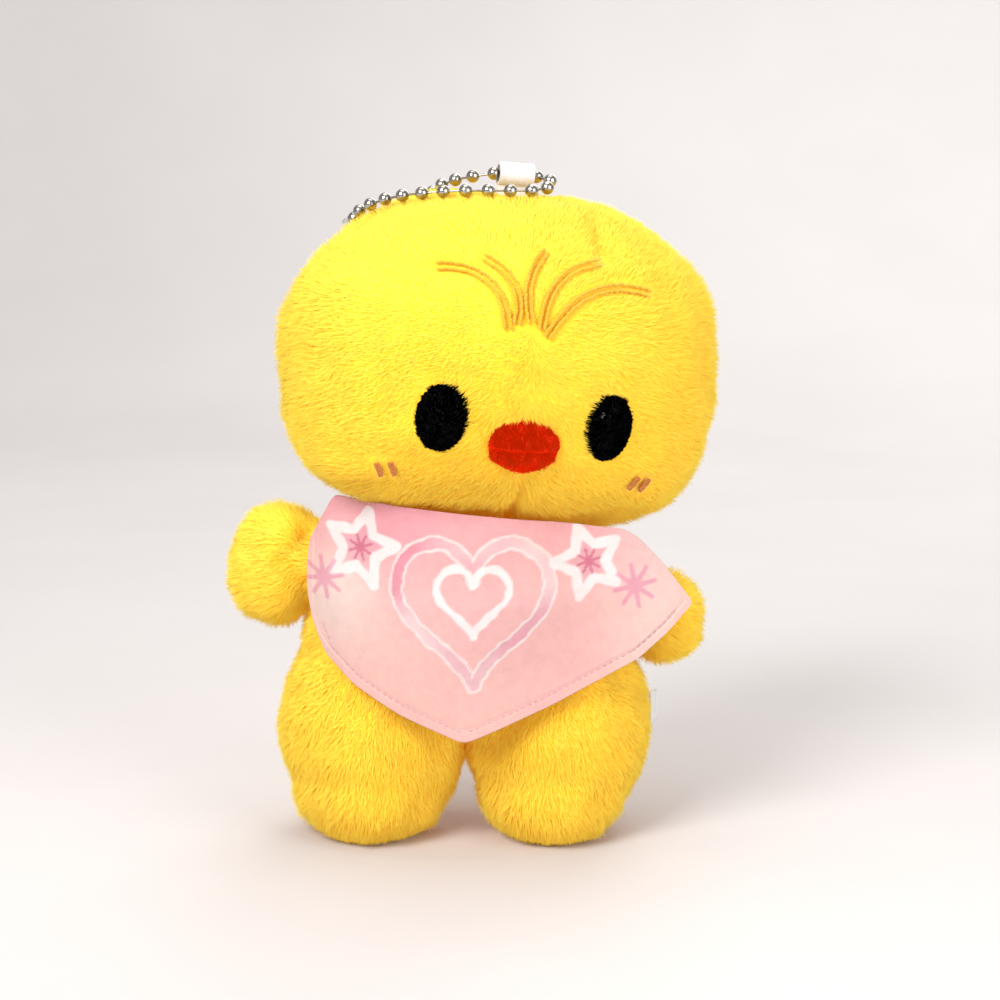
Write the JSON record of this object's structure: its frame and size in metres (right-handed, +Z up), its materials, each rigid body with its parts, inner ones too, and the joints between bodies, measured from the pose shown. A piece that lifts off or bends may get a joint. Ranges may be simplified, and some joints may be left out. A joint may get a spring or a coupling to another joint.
{
  "type": "plush keychain",
  "caption": "Small stuffed plush chick with a printed cloth bandana, hung from a steel ball chain that runs through a ribbon tab on its crown.",
  "frame": {"origin": "on the surface that the feet stand on, under the middle of the bounding box", "axes": "+Z up, the face looks towards -Y, +X to the viewer's right"},
  "size_m": [0.092, 0.06, 0.1246],
  "materials": {
    "yellow_plush": "matte",
    "fibre_filling": "matte",
    "printed_cloth": "matte",
    "pink_thread": "matte",
    "hook_and_loop": "matte",
    "yellow_thread": "matte",
    "black_thread": "satin",
    "red_thread": "satin",
    "dark_red_thread": "satin",
    "brown_thread": "satin",
    "orange_thread": "satin",
    "white_ribbon": "satin",
    "white_label": "satin",
    "chain_steel": "polished",
    "link_steel": "satin"
  },
  "bodies": {
    "body": {"body_front_panel": "yellow_plush", "body_back_panel": "yellow_plush", "body_stuffing": "fibre_filling", "care_label": "white_label", "bandana_neck_band": "printed_cloth", "bandana_closure_patch": "hook_and_loop"},
    "bandana": {"bandana": "printed_cloth", "bandana_hem_stitching": "pink_thread"},
    "neck": {"neck_stitching": "yellow_thread"},
    "head": {"head_front_panel": "yellow_plush", "head_back_panel": "yellow_plush", "head_stuffing": "fibre_filling", "left_eye": "black_thread", "right_eye": "black_thread", "beak": "red_thread", "beak_stitching": "dark_red_thread", "left_cheek_stitches": "brown_thread", "right_cheek_stitches": "brown_thread", "forehead_stitching": "orange_thread", "chain_start_balls": "chain_steel", "chain_start_links": "link_steel"},
    "ribbon_tab": {"ribbon_tab": "white_ribbon"},
    "left_arm": {"left_arm_cover": "yellow_plush", "left_arm_stuffing": "fibre_filling"},
    "right_arm": {"right_arm_cover": "yellow_plush", "right_arm_stuffing": "fibre_filling"},
    "chain_1": {"chain_1_balls": "chain_steel", "chain_1_links": "link_steel"},
    "chain_2": {"chain_2_balls": "chain_steel", "chain_2_links": "link_steel"},
    "chain_3": {"chain_3_balls": "chain_steel", "chain_3_links": "link_steel"},
    "chain_4": {"chain_4_balls": "chain_steel", "chain_4_links": "link_steel"},
    "chain_connector": {"chain_connector": "chain_steel"}
  },
  "joints": [
    {"name": "head_lean", "type": "hinge", "parent": "body", "child": "neck", "pos_m": [0.0005, 0.0004, 0.048], "axis": [0, 1, 0], "range_deg": [-4, 4], "stiffness_Nm_per_rad": 0.15},
    {"name": "head_nod", "type": "hinge", "parent": "neck", "child": "head", "pos_m": [0.0005, 0.0004, 0.048], "axis": [1, 0, 0], "range_deg": [-4, 4], "stiffness_Nm_per_rad": 0.15},
    {"name": "left_arm_flap", "type": "hinge", "parent": "body", "child": "left_arm", "pos_m": [-0.026, 0.0004, 0.051], "axis": [0, 1, 0], "range_deg": [0, 35], "stiffness_Nm_per_rad": 0.01},
    {"name": "right_arm_flap", "type": "hinge", "parent": "body", "child": "right_arm", "pos_m": [0.027, 0.0004, 0.0445], "axis": [0, -1, 0], "range_deg": [0, 35], "stiffness_Nm_per_rad": 0.01},
    {"name": "bandana_lift", "type": "hinge", "parent": "body", "child": "bandana", "pos_m": [0.0005, -0.0134, 0.056], "axis": [-1, 0, 0], "range_deg": [0, 35]},
    {"name": "tab_bend", "type": "hinge", "parent": "head", "child": "ribbon_tab", "pos_m": [0.0082, 0.0004, 0.11988], "axis": [0.9744, 0.2079, -0.0853], "range_deg": [-8, 8], "stiffness_Nm_per_rad": 0.001},
    {"name": "chain_fold_1", "type": "hinge", "parent": "head", "child": "chain_1", "pos_m": [0.00209, -0.00498, 0.1208], "axis": [-0.2492, 0.9489, 0.1933], "range_deg": [0, 45]},
    {"name": "chain_fold_2", "type": "hinge", "parent": "chain_1", "child": "chain_2", "pos_m": [-0.00479, -0.0021, 0.11986], "axis": [-0.04, 0.9982, 0.044], "range_deg": [0, 45]},
    {"name": "chain_fold_3", "type": "hinge", "parent": "chain_2", "child": "chain_3", "pos_m": [-0.01019, 0.00258, 0.1178], "axis": [0.1723, 0.9806, -0.0937], "range_deg": [0, 45]},
    {"name": "chain_fold_4", "type": "hinge", "parent": "chain_3", "child": "chain_4", "pos_m": [-0.01553, 0.00716, 0.1146], "axis": [0.2399, 0.9405, -0.2407], "range_deg": [0, 45]},
    {"name": "connector_release", "type": "hinge", "parent": "chain_4", "child": "chain_connector", "pos_m": [-0.021, 0.00851, 0.1128], "axis": [0.7738, -0.1418, 0.6174], "range_deg": [0, 40]}
  ]
}
